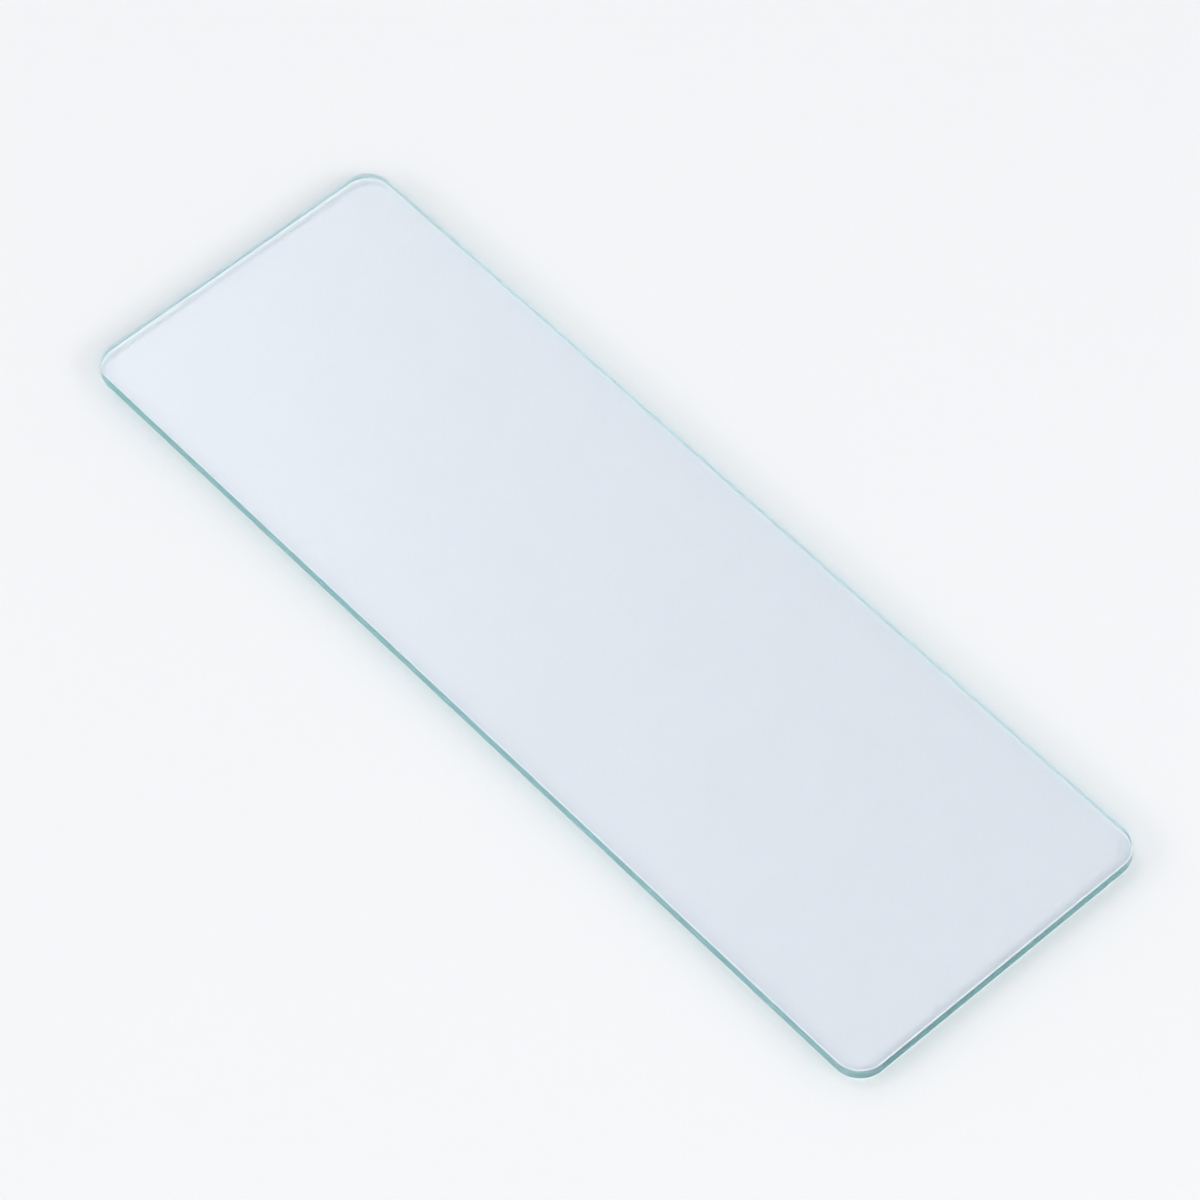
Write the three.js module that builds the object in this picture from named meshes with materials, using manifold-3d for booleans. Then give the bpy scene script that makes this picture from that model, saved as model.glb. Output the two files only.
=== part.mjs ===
// Microscope slide: one plate of clear glass, three inches by one, with ground edges,
// rounded corners and a narrow 45 degree arris round the rim of both faces.
//
// Millimetres, +Z up. The plate lies on one face. The origin is the centre of that face,
// +X runs along the length, +Y across the width and +Z through the thickness.

import * as THREE from 'three';
import { mergeVertices } from 'three/addons/utils/BufferGeometryUtils.js';
import Module from 'manifold-3d';

// Driving dimensions, in millimetres.
const SLIDE_LENGTH = 76.2;
const SLIDE_WIDTH = 25.4;
const SLIDE_THICKNESS = 1.1;
const CORNER_RADIUS = 2.0;
const ARRIS_LEG = 0.1; // how far each arris takes back the face, and the ground edge

// Flakes broken out of the rim. Each is a shallow shell-shaped scoop: its length runs along
// the edge and its depth square to the arris.
const END_FLAKE = { length: 0.7, depth: 0.09, fromCornerArc: 1.2 };
const CORNER_FLAKES = [
  { length: 0.26, depth: 0.045, turn: THREE.MathUtils.degToRad(116) },
  { length: 0.2, depth: 0.035, turn: THREE.MathUtils.degToRad(139) },
];

// Facets in a quarter turn of a corner, and round a flake's scoop.
const CORNER_SEGMENTS = 16;
const SCOOP_SEGMENTS = 20;

const HALF_LENGTH = SLIDE_LENGTH / 2;
const HALF_WIDTH = SLIDE_WIDTH / 2;

const wasm = await Module();
wasm.setup();

/** The slide's outline as seen from above: a rectangle whose corners are tangent arcs. */
function roundedOutline() {
  const arcX = HALF_LENGTH - CORNER_RADIUS;
  const arcY = HALF_WIDTH - CORNER_RADIUS;
  const quarter = Math.PI / 2;
  const outline = new THREE.Shape();
  outline.absarc(arcX, arcY, CORNER_RADIUS, 0, quarter);
  outline.absarc(-arcX, arcY, CORNER_RADIUS, quarter, 2 * quarter);
  outline.absarc(-arcX, -arcY, CORNER_RADIUS, 2 * quarter, 3 * quarter);
  outline.absarc(arcX, -arcY, CORNER_RADIUS, 3 * quarter, 4 * quarter);
  outline.closePath();
  return outline;
}

/** The whole plate: a ground band at full size, drawn in by the arris at each face. */
function plateGeometry() {
  const plate = new THREE.ExtrudeGeometry(roundedOutline(), {
    depth: SLIDE_THICKNESS - 2 * ARRIS_LEG,
    curveSegments: CORNER_SEGMENTS,
    steps: 1,
    bevelEnabled: true,
    bevelThickness: ARRIS_LEG,
    bevelSize: ARRIS_LEG,
    bevelOffset: -ARRIS_LEG,
    bevelSegments: 1,
  });
  plate.translate(0, 0, ARRIS_LEG);
  return plate;
}

/** The middle of the lower arris on the +X end, a set distance along from the +Y corner's arc. */
function pointOnEnd(fromCornerArc) {
  return {
    position: new THREE.Vector3(
      HALF_LENGTH - ARRIS_LEG / 2,
      HALF_WIDTH - CORNER_RADIUS - fromCornerArc,
      ARRIS_LEG / 2,
    ),
    outward: new THREE.Vector3(1, 0, -1).normalize(),
  };
}

/** The middle of the upper arris on the (-X, +Y) corner's arc, at a turn about its centre. */
function pointOnCorner(turn) {
  const radial = new THREE.Vector3(Math.cos(turn), Math.sin(turn), 0);
  const arcCentre = new THREE.Vector3(CORNER_RADIUS - HALF_LENGTH, HALF_WIDTH - CORNER_RADIUS, 0);
  const position = arcCentre.addScaledVector(radial, CORNER_RADIUS - ARRIS_LEG / 2);
  position.z = SLIDE_THICKNESS - ARRIS_LEG / 2;
  return { position, outward: radial.clone().setZ(1).normalize() };
}

/** The ball whose cap, pressed into an arris, leaves a scoop of the flake's length and depth. */
function scoopGeometry(flake, { position, outward }) {
  const halfLength = flake.length / 2;
  const radius = (halfLength ** 2 + flake.depth ** 2) / (2 * flake.depth);
  const centre = position.clone().addScaledVector(outward, radius - flake.depth);
  const ball = new THREE.SphereGeometry(radius, SCOOP_SEGMENTS, SCOOP_SEGMENTS / 2);
  ball.translate(centre.x, centre.y, centre.z);
  return ball;
}

/** A closed three.js geometry as a solid that can be cut. */
function toSolid(geometry) {
  const shell = geometry.clone();
  shell.deleteAttribute('normal');
  shell.deleteAttribute('uv');
  const merged = mergeVertices(shell);
  return new wasm.Manifold(new wasm.Mesh({
    numProp: 3,
    vertProperties: merged.attributes.position.array,
    triVerts: new Uint32Array(merged.index.array),
  }));
}

/** A solid as a flat-shaded three.js geometry. */
function toGeometry(solid) {
  const mesh = solid.getMesh();
  const shell = new THREE.BufferGeometry();
  shell.setAttribute('position', new THREE.BufferAttribute(mesh.vertProperties, 3));
  shell.setIndex(new THREE.BufferAttribute(mesh.triVerts, 1));
  const flat = shell.toNonIndexed();
  flat.computeVertexNormals();
  return flat;
}

/** The plate with its flakes broken out. */
function slideGeometry() {
  const scoops = [scoopGeometry(END_FLAKE, pointOnEnd(END_FLAKE.fromCornerArc))];
  for (const flake of CORNER_FLAKES) {
    scoops.push(scoopGeometry(flake, pointOnCorner(flake.turn)));
  }
  let solid = toSolid(plateGeometry());
  for (const scoop of scoops) {
    solid = solid.subtract(toSolid(scoop));
  }
  return toGeometry(solid);
}

// Clear soda-lime glass. Its own green-blue cast shows in the long way through to an edge.
const clearGlass = new THREE.MeshStandardMaterial({
  name: 'clear_glass',
  color: 0xd6e8e8,
  roughness: 0.05,
  metalness: 0,
  transparent: true,
  opacity: 0.35,
});

const slide = new THREE.Mesh(slideGeometry(), clearGlass);
slide.name = 'glass_slide';

const microscopeSlide = new THREE.Group();
microscopeSlide.add(slide);

export default microscopeSlide;
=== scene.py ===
"""Looks of a microscope slide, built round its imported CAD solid.

The slide is one plate of clear glass lying on a pale bench. Its rim is swept from a short edge
section, its faces close the sweep, and three small flakes are broken out of the arrises. One glass
material dresses the whole plate, because light crosses it from face to edge: masks carried by the
mesh say where it is polished, ground, rounded off or broken.

Metres, +Z up, in the same frame as the CAD solid: +X along the length and +Y across the width.
"""

import logging
import math
from dataclasses import dataclass, field
from enum import Enum
from typing import NamedTuple

import bpy
from mathutils import Matrix, Vector


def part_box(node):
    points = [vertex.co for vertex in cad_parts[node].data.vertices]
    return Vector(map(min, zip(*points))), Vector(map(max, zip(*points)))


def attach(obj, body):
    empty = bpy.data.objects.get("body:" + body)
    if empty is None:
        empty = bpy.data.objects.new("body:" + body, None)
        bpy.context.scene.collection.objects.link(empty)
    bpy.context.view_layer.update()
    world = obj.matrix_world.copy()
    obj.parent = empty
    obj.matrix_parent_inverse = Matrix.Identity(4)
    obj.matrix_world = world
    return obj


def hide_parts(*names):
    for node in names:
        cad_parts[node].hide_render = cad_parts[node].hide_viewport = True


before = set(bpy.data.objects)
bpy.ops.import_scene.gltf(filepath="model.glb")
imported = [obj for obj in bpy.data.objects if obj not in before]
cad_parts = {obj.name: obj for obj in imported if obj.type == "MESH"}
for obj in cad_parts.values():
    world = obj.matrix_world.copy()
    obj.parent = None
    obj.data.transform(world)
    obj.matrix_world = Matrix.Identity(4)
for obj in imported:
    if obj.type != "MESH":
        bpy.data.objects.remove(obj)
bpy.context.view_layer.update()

Socket = bpy.types.NodeSocket
Sockets = dict[str, Socket]
# What an input takes: a number, a vector, a colour, a name or another node's output.
Value = object
Inputs = dict[str | int, Value]
Colour = tuple[float, float, float]

SLIDE_NODE = "glass_slide"
BODY = "root"
MM = 0.001
BOX_CLEARANCE = 0.00002 * MM
GLASS_BOUNCES = 64
ROOM_BOUNCES = 6

log = logging.getLogger("microscope_slide")


class Marking(Enum):
    """The attributes that the slide's mesh carries for its material."""

    GROUND = "ground_edge"
    ARRIS = "arris"
    FLAKE = "flake"
    CORNER = "corner"
    RIM_PATH = "rim_path"


class CardShape(Enum):
    """How a lamp's card is shaped."""

    SQUARE = "SQUARE"
    OBLONG = "RECTANGLE"


class TreeWriter:
    """Adds nodes to one node tree and links them."""

    def __init__(self, tree: bpy.types.NodeTree) -> None:
        """Keeps the tree that is written to.

        Args:
            tree: the node tree, empty or part made.
        """
        self.tree = tree

    def add(self, kind: str, inputs: Inputs | None = None, **settings: Value) -> bpy.types.Node:
        """Adds one node.

        Args:
            kind: the node's type name.
            inputs: each input's name or number, with the value or output socket it takes.
            settings: the node's own properties.

        Returns:
            The new node.
        """
        node = self.tree.nodes.new(kind)
        for name, value in settings.items():
            setattr(node, name, value)
        for key, value in (inputs or {}).items():
            self.feed(node.inputs[key], value)
        return node

    def feed(self, socket: Socket, value: Value) -> None:
        """Gives an input its value.

        Args:
            socket: the input.
            value: what it takes, which is linked where it is an output socket.
        """
        if isinstance(value, Socket):
            self.tree.links.new(value, socket)
        else:
            socket.default_value = value

    def math(self, operation: str, *values: Value, clamp: bool = False) -> Socket:
        """Adds a number node.

        Args:
            operation: the sum to do.
            values: its numbers or output sockets, in order.
            clamp: whether the result is kept between 0 and 1.

        Returns:
            The result's socket.
        """
        node = self.add("ShaderNodeMath", dict(enumerate(values)), operation=operation, use_clamp=clamp)
        return node.outputs[0]

    def vector(self, operation: str, *values: Value) -> Socket:
        """Adds a vector node whose result is a vector, and returns that result's socket."""
        node = self.add("ShaderNodeVectorMath", dict(enumerate(values)), operation=operation)
        return node.outputs[0]

    def scaled(self, vector: Value, factor: Value) -> Socket:
        """Multiplies a vector by a number, and returns the result's socket."""
        node = self.add("ShaderNodeVectorMath", {0: vector, "Scale": factor}, operation="SCALE")
        return node.outputs[0]

    def group(self, tree: bpy.types.NodeTree, inputs: Inputs) -> Sockets:
        """Places a node group.

        Args:
            tree: the group's tree.
            inputs: each input's name, with its value or output socket.

        Returns:
            The group's output sockets by name.
        """
        kind = "GeometryNodeGroup" if tree.bl_idname == "GeometryNodeTree" else "ShaderNodeGroup"
        node = self.add(kind, node_tree=tree)
        for name, value in inputs.items():
            self.feed(node.inputs[name], value)
        return {socket.name: socket for socket in node.outputs}

    def mix(self, factor: Value, low: Value, high: Value) -> Socket:
        """Goes from one number to another as the factor rises to 1, and returns the result's socket."""
        node = self.add("ShaderNodeMix", {"Factor": factor, "A": low, "B": high}, data_type="FLOAT")
        return node.outputs[0]

    def colour_mix(self, factor: Value, low: Colour | Socket, high: Colour | Socket) -> Socket:
        """Goes from one colour to another as the factor goes from 0 to 1.

        Args:
            factor: how far to go.
            low: the colour at 0.
            high: the colour at 1.

        Returns:
            The mixed colour's socket.
        """
        node = self.add("ShaderNodeMix", data_type="RGBA")
        factor_in, low_in, high_in = (
            next(socket for socket in node.inputs if socket.name == name and socket.enabled)
            for name in ("Factor", "A", "B")
        )
        self.feed(factor_in, factor)
        self.feed(low_in, low if isinstance(low, Socket) else (*low, 1.0))
        self.feed(high_in, high if isinstance(high, Socket) else (*high, 1.0))
        return next(socket for socket in node.outputs if socket.enabled)

    def smooth_step(self, value: Value, start: Value, end: Value) -> Socket:
        """Rises smoothly from 0 to 1 as value goes from start to end.

        Args:
            value: the number that is read.
            start: where the rise begins.
            end: where the rise ends.

        Returns:
            The risen value's socket.
        """
        node = self.add(
            "ShaderNodeMapRange",
            {"Value": value, "From Min": start, "From Max": end},
            interpolation_type="SMOOTHSTEP",
        )
        return node.outputs[0]


def new_group(
    name: str, kind: str, inputs: dict[str, tuple[str, Value]], outputs: dict[str, str],
) -> tuple[TreeWriter, Sockets, bpy.types.Node]:
    """Makes a node group with named sockets.

    Args:
        name: the group's name.
        kind: GeometryNodeTree or ShaderNodeTree.
        inputs: each input's name, with its socket type and its value or None.
        outputs: each output's name, with its socket type.

    Returns:
        The group's writer, its input sockets by name, and its output node.
    """
    tree = bpy.data.node_groups.new(name, kind)
    for label, (socket_type, value) in inputs.items():
        socket = tree.interface.new_socket(name=label, in_out="INPUT", socket_type=socket_type)
        if value is not None:
            socket.default_value = value
    for label, socket_type in outputs.items():
        tree.interface.new_socket(name=label, in_out="OUTPUT", socket_type=socket_type)
    writer = TreeWriter(tree)
    entry = writer.add("NodeGroupInput")
    leave = writer.add("NodeGroupOutput")
    return writer, {socket.name: socket for socket in entry.outputs if socket.name}, leave


@dataclass(frozen=True)
class FineGrain:
    """The fine grain that a grinding belt leaves on glass and a press leaves on board."""

    grain_size: float = 0.2 * MM
    grain_detail: float = 3.0
    grain_breakup: float = 0.6
    tone_size: float = 2.0 * MM
    tone_detail: float = 2.0
    tone_breakup: float = 0.5

    def build(self) -> bpy.types.ShaderNodeTree:
        """Makes the group.

        Returns:
            A shader group that puts out a height and a tone, both between 0 and 1.
        """
        writer, entry, leave = new_group(
            "Fine Grain",
            "ShaderNodeTree",
            {
                "Vector": ("NodeSocketVector", None),
                "Grain Size": ("NodeSocketFloat", self.grain_size),
                "Stretch": ("NodeSocketFloat", 1.0),
                "Tone Size": ("NodeSocketFloat", self.tone_size),
            },
            {"Height": "NodeSocketFloat", "Tone": "NodeSocketFloat"},
        )
        drawn_out = writer.add("ShaderNodeCombineXYZ", {
            "X": writer.math("DIVIDE", 1.0, entry["Stretch"]), "Y": 1.0, "Z": 1.0,
        })
        grain = writer.add("ShaderNodeTexNoise", {
            "Vector": writer.vector("MULTIPLY", entry["Vector"], drawn_out.outputs[0]),
            "Scale": writer.math("DIVIDE", 1.0, entry["Grain Size"]),
            "Detail": self.grain_detail,
            "Roughness": self.grain_breakup,
        })
        tone = writer.add("ShaderNodeTexNoise", {
            "Vector": entry["Vector"],
            "Scale": writer.math("DIVIDE", 1.0, entry["Tone Size"]),
            "Detail": self.tone_detail,
            "Roughness": self.tone_breakup,
        })
        writer.feed(leave.inputs["Height"], grain.outputs[0])
        writer.feed(leave.inputs["Tone"], tone.outputs[0])
        return writer.tree


@dataclass(frozen=True)
class GlassFinish:
    """Clear soda-lime glass with polished faces and ground edges."""

    refraction: float = 1.52
    polished_roughness: float = 0.0
    ground_roughness: tuple[float, float] = (0.34, 0.50)
    corner_roughness: tuple[float, float] = (0.45, 0.75)
    arris_roughness: float = 0.25
    flake_roughness: float = 0.12
    polished_colour: Colour = (0.945, 0.958, 0.982)
    ground_colours: tuple[Colour, Colour] = ((0.37, 0.67, 0.66), (0.45, 0.72, 0.72))
    corner_colours: tuple[Colour, Colour] = ((0.50, 0.76, 0.76), (0.82, 0.92, 0.92))
    depth_colour: Colour = (0.04, 0.60, 0.62)
    depth_density: float = 15.0
    streak_size: float = 0.07 * MM
    streak_stretch: float = 30.0
    streak_height: float = 0.01 * MM
    blotch_size: float = 0.45 * MM
    blotch_range: tuple[float, float] = (0.40, 0.62)
    tone_size: float = 3.5 * MM
    tone_range: tuple[float, float] = (0.35, 0.65)

    def build(self, grain: bpy.types.ShaderNodeTree) -> bpy.types.Material:
        """Makes the material.

        Args:
            grain: the fine grain group.

        Returns:
            The glass, whose markings are read from the mesh.
        """
        material = bpy.data.materials.new("clear_glass_finish")
        material.use_nodes = True
        writer = TreeWriter(material.node_tree)
        writer.tree.nodes.clear()
        ground, arris, flake, corner = (
            writer.add("ShaderNodeAttribute", attribute_name=marking.value).outputs["Fac"]
            for marking in (Marking.GROUND, Marking.ARRIS, Marking.FLAKE, Marking.CORNER)
        )
        path = writer.add("ShaderNodeAttribute", attribute_name=Marking.RIM_PATH.value).outputs["Vector"]
        place = writer.add("ShaderNodeTexCoord").outputs["Object"]
        streaks = writer.group(grain, {
            "Vector": path, "Grain Size": self.streak_size, "Stretch": self.streak_stretch,
        })
        blotches = writer.group(grain, {
            "Vector": place, "Grain Size": self.blotch_size, "Tone Size": self.tone_size,
        })
        blotch = writer.smooth_step(blotches["Height"], *self.blotch_range)
        tone = writer.smooth_step(blotches["Tone"], *self.tone_range)
        worked = writer.math("MAXIMUM", ground, arris)
        edge_roughness = writer.mix(streaks["Height"], *self.ground_roughness)
        corner_roughness = writer.mix(blotch, *self.corner_roughness)
        roughness = writer.mix(corner, edge_roughness, corner_roughness)
        roughness = writer.mix(arris, roughness, self.arris_roughness)
        roughness = writer.mix(worked, self.polished_roughness, roughness)
        roughness = writer.mix(flake, roughness, self.flake_roughness)
        edge_colour = writer.colour_mix(tone, *self.ground_colours)
        corner_colour = writer.colour_mix(blotch, *self.corner_colours)
        worked_colour = writer.colour_mix(corner, edge_colour, corner_colour)
        colour = writer.colour_mix(ground, self.polished_colour, worked_colour)
        bump = writer.add("ShaderNodeBump", {
            "Height": writer.math("MULTIPLY", streaks["Height"], ground),
            "Distance": self.streak_height,
        })
        glass = writer.add("ShaderNodeBsdfPrincipled", {
            "Base Color": colour,
            "Roughness": roughness,
            "IOR": self.refraction,
            "Transmission Weight": 1.0,
            "Normal": bump.outputs[0],
        })
        depth = writer.add("ShaderNodeVolumeAbsorption", {
            "Color": (*self.depth_colour, 1.0), "Density": self.depth_density,
        })
        writer.add("ShaderNodeOutputMaterial", {
            "Surface": glass.outputs[0], "Volume": depth.outputs[0],
        })
        return material


@dataclass(frozen=True)
class BenchFinish:
    """Pale matt board."""

    colour: Colour = (0.895, 0.89, 0.88)
    tone_range: float = 0.012
    tone_size: float = 40.0 * MM
    grain_size: float = 0.5 * MM
    grain_height: float = 0.008 * MM
    roughness: float = 0.7

    def build(self, grain: bpy.types.ShaderNodeTree) -> bpy.types.Material:
        """Makes the material.

        Args:
            grain: the fine grain group.

        Returns:
            The board's material.
        """
        material = bpy.data.materials.new("bench_finish")
        material.use_nodes = True
        writer = TreeWriter(material.node_tree)
        writer.tree.nodes.clear()
        texture = writer.group(grain, {
            "Vector": writer.add("ShaderNodeTexCoord").outputs["Object"],
            "Grain Size": self.grain_size,
            "Tone Size": self.tone_size,
        })
        dark = tuple(channel - self.tone_range for channel in self.colour)
        colour = writer.colour_mix(texture["Tone"], dark, self.colour)
        bump = writer.add("ShaderNodeBump", {
            "Height": texture["Height"], "Distance": self.grain_height,
        })
        board = writer.add("ShaderNodeBsdfPrincipled", {
            "Base Color": colour,
            "Roughness": self.roughness,
            "Normal": bump.outputs[0],
        })
        writer.add("ShaderNodeOutputMaterial", {"Surface": board.outputs[0]})
        return material


@dataclass(frozen=True)
class Flake:
    """A shell-shaped break in an arris."""

    length: float
    depth: float
    point: Vector
    outward: Vector

    @property
    def radius(self) -> float:
        """The radius of the ball whose cap has the flake's length and depth."""
        return (self.length ** 2 / 4 + self.depth ** 2) / (2 * self.depth)


class Carried(NamedTuple):
    """A geometry, and the fields that were captured on its points."""

    geometry: Socket
    fields: Sockets


@dataclass
class SlideBody:
    """The glass plate: its rim, its two faces and the flakes out of its arrises."""

    length: float
    width: float
    thickness: float
    corner_radius: float = 2.0 * MM
    arris_leg: float = 0.1 * MM
    arris_blend: float = 0.06 * MM
    face_margin: float = 0.15 * MM
    arris_unevenness: float = 0.1
    unevenness_size: float = 12.0 * MM
    unevenness_detail: float = 2.0
    arris_spacing_in_noise: float = 7.0
    rim_step: float = 0.2 * MM
    corner_steps: int = 24
    blend_steps: int = 3
    corner_feather: float = 0.5 * MM
    crease_angle: float = math.radians(40)
    upright_below: float = 0.3
    level_above: float = 0.995
    seam_fall: float = 4.0
    weld_distance: float = 0.001 * MM
    # A flake's length and depth, and for a corner flake its turn about the corner's centre.
    end_flake: tuple[float, float] = (0.7 * MM, 0.09 * MM)
    end_flake_gap: float = 1.2 * MM
    corner_flakes: tuple[tuple[float, float, float], ...] = (
        (0.26 * MM, 0.045 * MM, math.radians(116)),
        (0.2 * MM, 0.035 * MM, math.radians(139)),
    )
    ripple_depth: float = 0.004 * MM
    ripple_spacing: float = 0.09 * MM
    ball_divisions: int = 5
    border_mark: float = 0.1
    seed: float = 3.0
    flakes: list[Flake] = field(default_factory=list)

    def __post_init__(self) -> None:
        """Places the flakes from the plate's sizes."""
        mid_arris = self.arris_leg / 2
        end_point = Vector((
            self.length / 2 - mid_arris,
            self.width / 2 - self.corner_radius - self.end_flake_gap,
            mid_arris,
        ))
        self.flakes.append(Flake(*self.end_flake, end_point, Vector((1, 0, -1)).normalized()))
        for length, depth, turn in self.corner_flakes:
            self.flakes.append(self._corner_flake(length, depth, turn))

    def _corner_flake(self, length: float, depth: float, turn: float) -> Flake:
        """Places a flake in the upper arris of the (-X, +Y) corner.

        Args:
            length: along the rim.
            depth: square to the arris.
            turn: the angle about the corner's centre, from +X.

        Returns:
            The placed flake.
        """
        radial = Vector((math.cos(turn), math.sin(turn), 0))
        centre = Vector((self.corner_radius - self.length / 2, self.width / 2 - self.corner_radius, 0))
        point = centre + radial * (self.corner_radius - self.arris_leg / 2)
        point.z = self.thickness - self.arris_leg / 2
        return Flake(length, depth, point, (radial + Vector((0, 0, 1))).normalized())

    def build(self, glass: bpy.types.Material) -> bpy.types.Object:
        """Makes the finished plate.

        Args:
            glass: the material that the whole plate takes.

        Returns:
            The plate as a plain mesh object.
        """
        host = bpy.data.objects.new("slide_host", bpy.data.meshes.new("slide_host"))
        bpy.context.scene.collection.objects.link(host)
        tree = self._plate_tree()
        modifier = host.modifiers.new("plate", "NODES")
        modifier.node_group = tree
        values = {**self._sizes(), "Glass": glass}
        for item in tree.interface.items_tree:
            if item.in_out == "INPUT" and item.name in values:
                modifier[item.identifier] = values[item.name]
        graph = bpy.context.evaluated_depsgraph_get()
        mesh = bpy.data.meshes.new_from_object(
            host.evaluated_get(graph), preserve_all_data_layers=True, depsgraph=graph,
        )
        host.modifiers.clear()
        bpy.data.objects.remove(host)
        mesh.name = "slide_plate"
        plate = bpy.data.objects.new("slide_plate", mesh)
        bpy.context.scene.collection.objects.link(plate)
        return plate

    def _sizes(self) -> dict[str, float | int]:
        """Lists the plate tree's numbers by the names of its inputs.

        Returns:
            Each input's name, with its value.
        """
        return {
            "Length": self.length,
            "Width": self.width,
            "Thickness": self.thickness,
            "Corner Radius": self.corner_radius,
            "Arris Leg": self.arris_leg,
            "Arris Blend": self.arris_blend,
            "Face Margin": self.face_margin,
            "Arris Unevenness": self.arris_unevenness,
            "Unevenness Size": self.unevenness_size,
            "Corner Feather": self.corner_feather,
            "Rim Step": self.rim_step,
            "Corner Steps": self.corner_steps,
            "Blend Steps": self.blend_steps,
            "Seed": self.seed,
        }

    def _plate_tree(self) -> bpy.types.GeometryNodeTree:
        """Builds the tree that sweeps the rim, closes the faces and breaks out the flakes.

        Returns:
            The geometry node tree, whose inputs are the plate's sizes.
        """
        inputs = {
            name: ("NodeSocketInt" if isinstance(value, int) else "NodeSocketFloat", value)
            for name, value in self._sizes().items()
        }
        inputs["Glass"] = ("NodeSocketMaterial", None)
        writer, entry, leave = new_group(
            "Slide Plate", "GeometryNodeTree", inputs, {"Geometry": "NodeSocketGeometry"},
        )
        rim = self._rim_path(writer, entry)
        section = self._edge_section(writer, entry)
        skin = self._swept_rim(writer, entry, rim, section)
        closed = self._closed_faces(writer, entry, skin)
        chipped = self._broken_out(writer, closed)
        masked = self._masked(writer, entry, chipped)
        realized = writer.add("GeometryNodeRealizeInstances", {"Geometry": masked})
        dressed = writer.add("GeometryNodeSetMaterial", {
            "Geometry": realized.outputs[0], "Material": entry["Glass"],
        })
        writer.feed(leave.inputs["Geometry"], dressed.outputs[0])
        return writer.tree

    @staticmethod
    def _captured(writer: TreeWriter, geometry: Socket, **fields: Socket) -> Carried:
        """Captures fields on a geometry's points.

        Args:
            writer: the tree's writer.
            geometry: the geometry that carries the fields on.
            fields: each captured field by name, a number's socket or a vector's.

        Returns:
            The geometry, and the captured fields by name.
        """
        node = writer.add("GeometryNodeCaptureAttribute", domain="POINT")
        for name, value in fields.items():
            node.capture_items.new("VECTOR" if value.type == "VECTOR" else "FLOAT", name)
        writer.feed(node.inputs["Geometry"], geometry)
        for name, value in fields.items():
            writer.feed(node.inputs[name], value)
        return Carried(node.outputs["Geometry"], {name: node.outputs[name] for name in fields})

    def _rim_path(self, writer: TreeWriter, entry: Sockets) -> Carried:
        """Draws the plate's outline with its rounded corners, in short even steps.

        Args:
            writer: the tree's writer.
            entry: the tree's inputs by name.

        Returns:
            The outline, and its captured place, direction and arc length.
        """
        outline = writer.add("GeometryNodeCurvePrimitiveQuadrilateral", {
            "Width": entry["Length"], "Height": entry["Width"],
        })
        rounded = writer.add("GeometryNodeFilletCurve", {
            "Curve": outline.outputs[0], "Count": entry["Corner Steps"],
            "Radius": entry["Corner Radius"],
        }, mode="POLY")
        stepped = writer.add("GeometryNodeResampleCurve", {
            "Curve": rounded.outputs[0], "Length": entry["Rim Step"],
        }, mode="LENGTH")
        return self._captured(
            writer,
            stepped.outputs[0],
            place=writer.add("GeometryNodeInputPosition").outputs[0],
            heading=writer.add("GeometryNodeInputTangent").outputs[0],
            run=writer.add("GeometryNodeSplineParameter").outputs["Length"],
        )

    def _edge_section(self, writer: TreeWriter, entry: Sockets) -> Carried:
        """Draws the edge's section, from the upper face round the ground edge to the lower face.

        Args:
            writer: the tree's writer.
            entry: the tree's inputs by name.

        Returns:
            The section, and its captured place and arc length.
        """
        leg = entry["Arris Leg"]
        inner = writer.math("ADD", leg, entry["Face Margin"])
        high = writer.math("SUBTRACT", entry["Thickness"], leg)
        corners = (
            (inner, entry["Thickness"]), (leg, entry["Thickness"]), (0.0, high),
            (0.0, leg), (leg, 0.0), (inner, 0.0),
        )
        chooser = writer.add("GeometryNodeIndexSwitch", data_type="VECTOR")
        while len(chooser.index_switch_items) < len(corners):
            chooser.index_switch_items.new()
        writer.feed(chooser.inputs["Index"], writer.add("GeometryNodeInputIndex").outputs[0])
        for number, (inset, height) in enumerate(corners):
            point = writer.add("ShaderNodeCombineXYZ", {"X": inset, "Y": height})
            writer.feed(chooser.inputs[number + 1], point.outputs[0])
        line = writer.add("GeometryNodeMeshLine", {"Count": len(corners)})
        bent = writer.add("GeometryNodeSetPosition", {
            "Geometry": line.outputs[0], "Position": chooser.outputs[0],
        })
        curve = writer.add("GeometryNodeMeshToCurve", {"Mesh": bent.outputs[0]})
        eased = writer.add("GeometryNodeFilletCurve", {
            "Curve": curve.outputs[0], "Count": entry["Blend Steps"],
            "Radius": entry["Arris Blend"], "Limit Radius": True,
        }, mode="POLY")
        return self._captured(
            writer,
            eased.outputs[0],
            section=writer.add("GeometryNodeInputPosition").outputs[0],
            rise=writer.add("GeometryNodeSplineParameter").outputs["Length"],
        )

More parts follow.
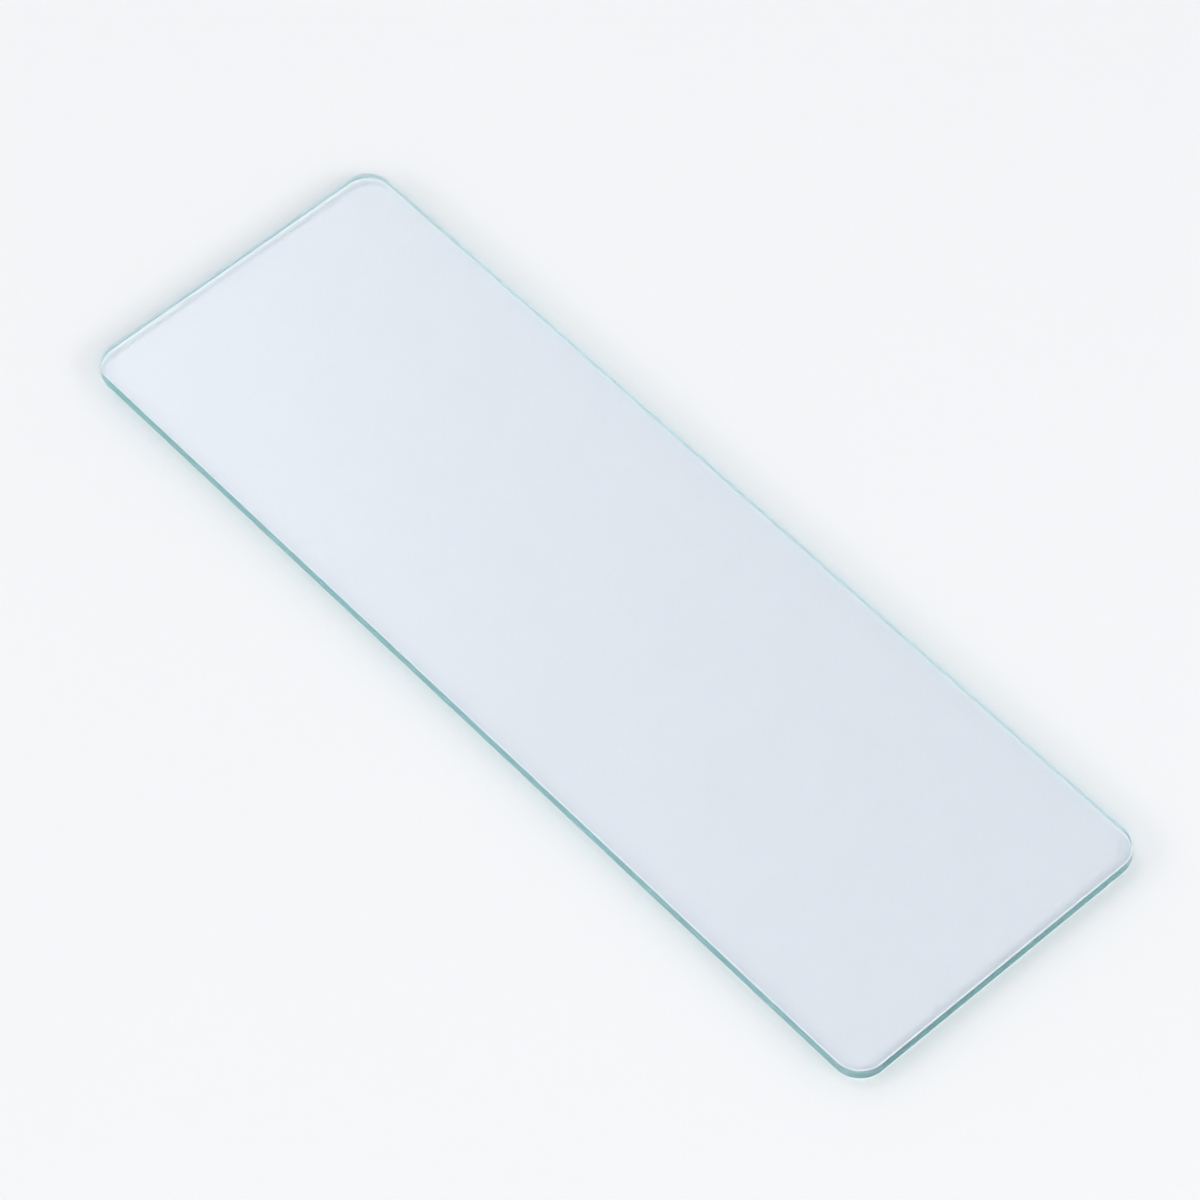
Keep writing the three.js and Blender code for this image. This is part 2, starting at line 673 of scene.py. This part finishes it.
    def _swept_rim(
        self, writer: TreeWriter, entry: Sockets, rim: Carried, section: Carried,
    ) -> Socket:
        """Sweeps the section round the outline, with arrises a little uneven in width.

        Args:
            writer: the tree's writer.
            entry: the tree's inputs by name.
            rim: the outline and its captured fields.
            section: the section and its captured fields.

        Returns:
            The swept rim, open at both faces, with its path stored for the material.
        """
        swept = writer.add("GeometryNodeCurveToMesh", {
            "Curve": rim.geometry, "Profile Curve": section.geometry,
        })
        place, heading, run = (rim.fields[name] for name in ("place", "heading", "run"))
        across = writer.add("ShaderNodeSeparateXYZ", {0: section.fields["section"]})
        inset, height = across.outputs["X"], across.outputs["Y"]
        upper = writer.math("GREATER_THAN", height, writer.math("MULTIPLY", entry["Thickness"], 0.5))
        side = writer.add("ShaderNodeCombineXYZ", {"Z": writer.math("ADD", upper, entry["Seed"])})
        noise = writer.add("ShaderNodeTexNoise", {
            "Vector": writer.vector(
                "ADD",
                writer.scaled(place, writer.math("DIVIDE", 1.0, entry["Unevenness Size"])),
                writer.scaled(side.outputs[0], self.arris_spacing_in_noise),
            ),
            "Scale": 1.0, "Detail": self.unevenness_detail,
        })
        swing = writer.math("MULTIPLY", writer.math("SUBTRACT", noise.outputs[0], 0.5), 2.0)
        widen = writer.math("ADD", 1.0, writer.math("MULTIPLY", swing, entry["Arris Unevenness"]))
        from_face = writer.math("MINIMUM", height, writer.math("SUBTRACT", entry["Thickness"], height))
        lifted = writer.math("MULTIPLY", from_face, widen)
        level = writer.add("GeometryNodeSwitch", {
            "Switch": upper, "False": lifted,
            "True": writer.math("SUBTRACT", entry["Thickness"], lifted),
        }, input_type="FLOAT")
        inward = writer.vector("CROSS_PRODUCT", (0.0, 0.0, 1.0), heading)
        centre_side = writer.add("ShaderNodeVectorMath", {0: inward, 1: place}, operation="DOT_PRODUCT")
        sign = writer.math("SIGN", centre_side.outputs["Value"])
        inwards = writer.math("MULTIPLY", sign, -1.0)
        shift = writer.math("MULTIPLY", writer.math("MULTIPLY", inset, widen), inwards)
        flat = writer.vector("ADD", place, writer.scaled(inward, shift))
        risen = writer.add("ShaderNodeCombineXYZ", {"Z": level.outputs[0]})
        placed = writer.add("GeometryNodeSetPosition", {
            "Geometry": swept.outputs[0], "Position": writer.vector("ADD", flat, risen.outputs[0]),
        })
        path = writer.add("ShaderNodeCombineXYZ", {
            "X": self._unwrapped(writer, entry, run), "Y": section.fields["rise"],
        })
        stored = writer.add("GeometryNodeStoreNamedAttribute", {
            "Geometry": placed.outputs[0], "Name": Marking.RIM_PATH.value, "Value": path.outputs[0],
        }, data_type="FLOAT_VECTOR", domain="CORNER")
        return stored.outputs[0]

    def _unwrapped(self, writer: TreeWriter, entry: Sockets, run: Socket) -> Socket:
        """Keeps the arc length rising over the faces where the outline closes on itself.

        Args:
            writer: the tree's writer.
            entry: the tree's inputs by name.
            run: the arc length at each point.

        Returns:
            The arc length for each face corner.
        """
        middle = writer.add(
            "GeometryNodeFieldOnDomain", {"Value": run}, data_type="FLOAT", domain="FACE",
        )
        behind = writer.math("SUBTRACT", middle.outputs[0], run)
        # The arc length falls by many steps only on the face where the outline closes.
        large = writer.math("MULTIPLY", entry["Rim Step"], self.seam_fall)
        closes = writer.math("GREATER_THAN", behind, large)
        whole = writer.math("MULTIPLY_ADD", behind, 2.0, entry["Rim Step"])
        return writer.math("MULTIPLY_ADD", closes, whole, run)

    def _closed_faces(self, writer: TreeWriter, entry: Sockets, skin: Socket) -> Socket:
        """Fills the rim's two open loops with the polished faces.

        Args:
            writer: the tree's writer.
            entry: the tree's inputs by name.
            skin: the swept rim.

        Returns:
            The closed plate.
        """
        lone = writer.add("FunctionNodeCompare", {
            "A": writer.add("GeometryNodeInputMeshEdgeNeighbors").outputs[0], "B": 1,
        }, data_type="INT", operation="EQUAL")
        height = writer.add("ShaderNodeSeparateXYZ", {
            0: writer.add("GeometryNodeInputPosition").outputs[0],
        })
        upper = writer.math(
            "GREATER_THAN", height.outputs["Z"], writer.math("MULTIPLY", entry["Thickness"], 0.5),
        )
        shells = [skin]
        for is_upper in (True, False):
            chosen = upper if is_upper else writer.math("SUBTRACT", 1.0, upper)
            loop = writer.add("GeometryNodeMeshToCurve", {
                "Mesh": skin, "Selection": writer.math("MULTIPLY", lone.outputs[0], chosen),
            })
            filled = writer.add("GeometryNodeFillCurve", {"Curve": loop.outputs[0]}, mode="NGONS")
            face = filled.outputs[0]
            if is_upper:
                lift = writer.add("ShaderNodeCombineXYZ", {"Z": entry["Thickness"]})
                face = writer.add("GeometryNodeTransform", {
                    "Geometry": face, "Translation": lift.outputs[0],
                }).outputs[0]
            else:
                face = writer.add("GeometryNodeFlipFaces", {"Mesh": face}).outputs[0]
            shells.append(face)
        joined = writer.add("GeometryNodeJoinGeometry")
        for shell in shells:
            writer.tree.links.new(shell, joined.inputs[0])
        merged = writer.add("GeometryNodeMergeByDistance", {
            "Geometry": joined.outputs[0], "Distance": self.weld_distance,
        })
        return merged.outputs[0]

    def _broken_out(self, writer: TreeWriter, plate: Socket) -> Socket:
        """Breaks each flake out of the plate.

        Args:
            writer: the tree's writer.
            plate: the closed plate.

        Returns:
            The chipped plate, whose flakes carry their own mask.
        """
        scoop = self._scoop_tree()
        whole = writer.add("GeometryNodeStoreNamedAttribute", {
            "Geometry": plate, "Name": Marking.FLAKE.value, "Value": 0.0,
        }, data_type="FLOAT", domain="FACE")
        cut = writer.add("GeometryNodeMeshBoolean", operation="DIFFERENCE", solver="MANIFOLD")
        writer.feed(cut.inputs["Mesh 1"], whole.outputs[0])
        for flake in self.flakes:
            ball = writer.group(scoop, {
                "Impact Point": flake.point,
                "Outward": flake.outward,
                "Radius": flake.radius,
                "Depth": flake.depth,
                "Ripple Depth": self.ripple_depth,
                "Ripple Spacing": self.ripple_spacing,
            })
            writer.feed(cut.inputs["Mesh 2"], ball["Geometry"])
        return cut.outputs[0]

    def _scoop_tree(self) -> bpy.types.GeometryNodeTree:
        """Builds the rippled ball that leaves one shell-shaped break.

        Returns:
            A geometry node tree, whose inputs place and size the ball.
        """
        writer, entry, leave = new_group(
            "Flake Scoop",
            "GeometryNodeTree",
            {
                "Impact Point": ("NodeSocketVector", None),
                "Outward": ("NodeSocketVector", None),
                "Radius": ("NodeSocketFloat", None),
                "Depth": ("NodeSocketFloat", None),
                "Ripple Depth": ("NodeSocketFloat", None),
                "Ripple Spacing": ("NodeSocketFloat", None),
            },
            {"Geometry": "NodeSocketGeometry"},
        )
        ball = writer.add("GeometryNodeMeshIcoSphere", {
            "Radius": entry["Radius"], "Subdivisions": self.ball_divisions,
        })
        lift = writer.math("SUBTRACT", entry["Radius"], entry["Depth"])
        centre = writer.vector("ADD", entry["Impact Point"], writer.scaled(entry["Outward"], lift))
        placed = writer.add("GeometryNodeTransform", {
            "Geometry": ball.outputs["Mesh"], "Translation": centre,
        })
        here = writer.add("GeometryNodeInputPosition").outputs[0]
        away = writer.add(
            "ShaderNodeVectorMath", {0: here, 1: entry["Impact Point"]}, operation="DISTANCE",
        )
        turns = writer.math("DIVIDE", away.outputs["Value"], entry["Ripple Spacing"])
        wave = writer.math("SINE", writer.math("MULTIPLY", turns, 2 * math.pi))
        normal = writer.add("GeometryNodeInputNormal").outputs[0]
        rippled = writer.add("GeometryNodeSetPosition", {
            "Geometry": placed.outputs[0],
            "Offset": writer.scaled(normal, writer.math("MULTIPLY", wave, entry["Ripple Depth"])),
        })
        marked = writer.add("GeometryNodeStoreNamedAttribute", {
            "Geometry": rippled.outputs[0], "Name": Marking.FLAKE.value, "Value": 1.0,
        }, data_type="FLOAT", domain="FACE")
        writer.feed(leave.inputs["Geometry"], marked.outputs[0])
        return writer.tree

    def _masked(self, writer: TreeWriter, entry: Sockets, plate: Socket) -> Socket:
        """Stores where the plate is ground, where its arrises are and how near a corner arc is.

        Args:
            writer: the tree's writer.
            entry: the tree's inputs by name.
            plate: the chipped plate.

        Returns:
            The plate with its masks, shaded smooth between its sharp borders.
        """
        up = writer.add("ShaderNodeSeparateXYZ", {
            0: writer.add("GeometryNodeInputNormal").outputs[0],
        })
        slope = writer.math("ABSOLUTE", up.outputs["Z"])
        flake = writer.add(
            "GeometryNodeInputNamedAttribute", {"Name": Marking.FLAKE.value}, data_type="FLOAT",
        )
        sound = writer.math("SUBTRACT", 1.0, flake.outputs[0])
        # The slope is 0 on an upright face and 1 on a level one.
        upright = writer.math("LESS_THAN", slope, self.upright_below)
        leaning = writer.math("GREATER_THAN", slope, self.upright_below)
        sloping = writer.math("MULTIPLY", leaning, writer.math("LESS_THAN", slope, self.level_above))
        place = writer.vector("ABSOLUTE", writer.add("GeometryNodeInputPosition").outputs[0])
        half = writer.add("ShaderNodeCombineXYZ", {
            "X": writer.math("MULTIPLY", entry["Length"], 0.5),
            "Y": writer.math("MULTIPLY", entry["Width"], 0.5),
        })
        past = writer.add("ShaderNodeSeparateXYZ", {
            0: writer.vector("SUBTRACT", place, half.outputs[0]),
        })
        beyond = writer.math("MINIMUM", past.outputs["X"], past.outputs["Y"])
        into_arc = writer.math("ADD", beyond, entry["Corner Radius"])
        feather = entry["Corner Feather"]
        corner = writer.smooth_step(into_arc, writer.math("MULTIPLY", feather, -1.0), feather)
        result = plate
        for mask, value, domain in (
            (Marking.GROUND, writer.math("MULTIPLY", upright, sound), "FACE"),
            (Marking.ARRIS, writer.math("MULTIPLY", sloping, sound), "FACE"),
            (Marking.CORNER, corner, "POINT"),
        ):
            result = writer.add("GeometryNodeStoreNamedAttribute", {
                "Geometry": result, "Name": mask.value, "Value": value,
            }, data_type="FLOAT", domain=domain).outputs[0]
        smooth = writer.add("GeometryNodeSetShadeSmooth", {"Geometry": result}, domain="FACE")
        bend = writer.add("GeometryNodeInputMeshEdgeAngle").outputs["Unsigned Angle"]
        # Both masks are part way only on the edges between a flake and a sound face.
        border = writer.math("MULTIPLY", flake.outputs[0], sound)
        sharp = writer.add("GeometryNodeSetShadeSmooth", {
            "Geometry": smooth.outputs[0],
            "Selection": writer.math(
                "MAXIMUM",
                writer.math("GREATER_THAN", bend, self.crease_angle),
                writer.math("GREATER_THAN", border, self.border_mark),
            ),
            "Shade Smooth": False,
        }, domain="EDGE")
        return sharp.outputs[0]


@dataclass(frozen=True)
class Lamp:
    """A soft card of light, which may fade out towards its borders."""

    name: str
    shape: CardShape
    size: tuple[float, float]
    place: tuple[float, float, float]
    power: float
    colour: Colour = (1.0, 1.0, 1.0)
    feather: float = 0.0

    def build(self, target: Vector) -> bpy.types.Object:
        """Makes the card and turns it to its target.

        Args:
            target: the point that the card faces.

        Returns:
            The lamp's object.
        """
        data = bpy.data.lights.new(self.name, "AREA")
        data.shape = self.shape.value
        data.size = self.size[0]
        if self.shape is CardShape.OBLONG:
            data.size_y = self.size[1]
        data.energy = self.power
        data.color = self.colour
        if self.feather > 0:
            self._fade(data)
        lamp = bpy.data.objects.new(self.name, data)
        lamp.location = self.place
        lamp.rotation_euler = (target - lamp.location).to_track_quat("-Z", "Y").to_euler()
        bpy.context.scene.collection.objects.link(lamp)
        return lamp

    def _fade(self, data: bpy.types.AreaLight) -> None:
        """Fades the card's light towards its borders.

        Args:
            data: the card's light.
        """
        data.use_nodes = True
        writer = TreeWriter(data.node_tree)
        writer.tree.nodes.clear()
        half = 0.5
        spot = writer.add("ShaderNodeNewGeometry").outputs["Parametric"]
        off_centre = writer.vector("ABSOLUTE", writer.vector("SUBTRACT", spot, (half, half, 0.0)))
        part = writer.add("ShaderNodeSeparateXYZ", {0: off_centre})
        fades = [
            writer.smooth_step(part.outputs[axis], half, half - self.feather) for axis in ("X", "Y")
        ]
        glow = writer.add("ShaderNodeEmission", {"Strength": writer.math("MULTIPLY", *fades)})
        writer.add("ShaderNodeOutputLight", {0: glow.outputs[0]})


@dataclass
class Studio:
    """The bench, the soft light and the camera round the slide."""

    low: Vector
    high: Vector
    azimuth: float = math.radians(49.09)
    elevation: float = math.radians(55.79)
    roll: float = math.radians(-1.42)
    lens: float = 158.3
    sensor: float = 36.0
    clip_start: float = 0.01
    # The share of the frame that the slide spans.
    fill: float = 0.88
    bench_size: float = 4.0
    bench_gap: float = 0.02 * MM
    wall_colour: Colour = (1.02, 0.99, 0.96)
    ceiling_colour: Colour = (0.39, 0.44, 0.52)
    # Where the walls end and the ceiling begins: 0 is level and 1 is overhead.
    wall_top: float = 0.35
    ceiling_start: float = 0.80
    lamps: tuple[Lamp, ...] = (
        Lamp(
            "face_card", CardShape.SQUARE, size=(0.7, 0.7), place=(-0.56, 0.14, 0.70),
            power=3.6, feather=0.5,
        ),
        Lamp(
            "key_card", CardShape.SQUARE, size=(0.8, 0.8), place=(0.55, -0.40, 0.85),
            power=3.4, colour=(1.0, 0.97, 0.93),
        ),
        Lamp(
            "front_strip", CardShape.OBLONG, size=(0.7, 0.22), place=(-0.36, -0.70, 0.31),
            power=1.4,
        ),
        Lamp(
            "end_strip", CardShape.OBLONG, size=(0.5, 0.22), place=(0.66, 0.29, 0.34),
            power=1.4,
        ),
    )

    def build(self, board: bpy.types.Material) -> None:
        """Sets out the bench, the room, the lamps and the camera.

        Args:
            board: the bench's material.
        """
        self._bench(board)
        self._room()
        for lamp in self.lamps:
            lamp.build((self.low + self.high) / 2)
        self._camera()

    def _bench(self, board: bpy.types.Material) -> None:
        """Lays a pale board just clear of the slide's lower face.

        Args:
            board: the bench's material.
        """
        half = self.bench_size / 2
        level = self.low.z - self.bench_gap
        mesh = bpy.data.meshes.new("bench")
        corners = [
            (x * half, y * half, level) for x, y in ((-1, -1), (1, -1), (1, 1), (-1, 1))
        ]
        mesh.from_pydata(corners, [], [(0, 1, 2, 3)])
        mesh.materials.append(board)
        bench = bpy.data.objects.new("bench", mesh)
        bpy.context.scene.collection.objects.link(bench)

    def _room(self) -> None:
        """Fills the room with pale light from its walls, and less from its ceiling."""
        world = bpy.data.worlds.new("room")
        world.use_nodes = True
        writer = TreeWriter(world.node_tree)
        writer.tree.nodes.clear()
        towards = writer.add("ShaderNodeSeparateXYZ", {
            0: writer.add("ShaderNodeTexCoord").outputs["Generated"],
        })
        rise = writer.smooth_step(towards.outputs["Z"], self.wall_top, self.ceiling_start)
        colour = writer.colour_mix(rise, self.wall_colour, self.ceiling_colour)
        light = writer.add("ShaderNodeBackground", {"Color": colour})
        writer.add("ShaderNodeOutputWorld", {"Surface": light.outputs[0]})
        bpy.context.scene.world = world

    def _camera(self) -> None:
        """Looks down on the slide through a long lens, far enough back to show all of it."""
        cos_up, sin_up = math.cos(self.elevation), math.sin(self.elevation)
        back = Vector((math.sin(self.azimuth) * cos_up, -math.cos(self.azimuth) * cos_up, sin_up))
        level = Vector((math.cos(self.azimuth), math.sin(self.azimuth), 0))
        upright = back.cross(level)
        right = math.cos(self.roll) * level + math.sin(self.roll) * upright
        up = back.cross(right)
        centre = (self.low + self.high) / 2
        half = (self.high - self.low) / 2
        reach = max(
            abs(axis.x) * half.x + abs(axis.y) * half.y + abs(axis.z) * half.z for axis in (right, up)
        )
        distance = reach / self.fill / (self.sensor / 2 / self.lens)
        data = bpy.data.cameras.new("camera")
        data.lens = self.lens
        data.sensor_width = self.sensor
        data.clip_start = self.clip_start
        camera = bpy.data.objects.new("camera", data)
        turn = Matrix((right, up, back)).transposed().to_4x4()
        camera.matrix_world = Matrix.Translation(centre + back * distance) @ turn
        bpy.context.scene.collection.objects.link(camera)
        bpy.context.scene.camera = camera


def set_light_paths() -> None:
    """Lets light cross the plate from edge to edge, and keeps whites plain and thin lines whole."""
    scene = bpy.context.scene
    scene.cycles.max_bounces = GLASS_BOUNCES
    scene.cycles.transmission_bounces = GLASS_BOUNCES
    scene.cycles.glossy_bounces = GLASS_BOUNCES
    scene.cycles.diffuse_bounces = ROOM_BOUNCES
    scene.cycles.blur_glossy = 0.0
    # The denoiser's guide passes would break the far edges, which look thin, into dashes.
    scene.cycles.denoising_input_passes = "RGB"
    scene.view_settings.view_transform = "Standard"


def main() -> None:
    """Builds the finishes, the slide and the studio, and reports each piece."""
    logging.basicConfig(level=logging.INFO, format="%(name)s: %(message)s")
    low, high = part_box(SLIDE_NODE)
    size = high - low
    grain = FineGrain().build()
    glass = GlassFinish().build(grain)
    body = SlideBody(size.x - BOX_CLEARANCE, size.y - BOX_CLEARANCE, size.z)
    plate = body.build(glass)
    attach(plate, BODY)
    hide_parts(SLIDE_NODE)
    log.info("%s: %d faces, %d flakes", plate.name, len(plate.data.polygons), len(body.flakes))
    Studio(low, high).build(BenchFinish().build(grain))
    set_light_paths()
    log.info("studio: bench, lamps and camera")


if __name__ == "__main__":
    main()
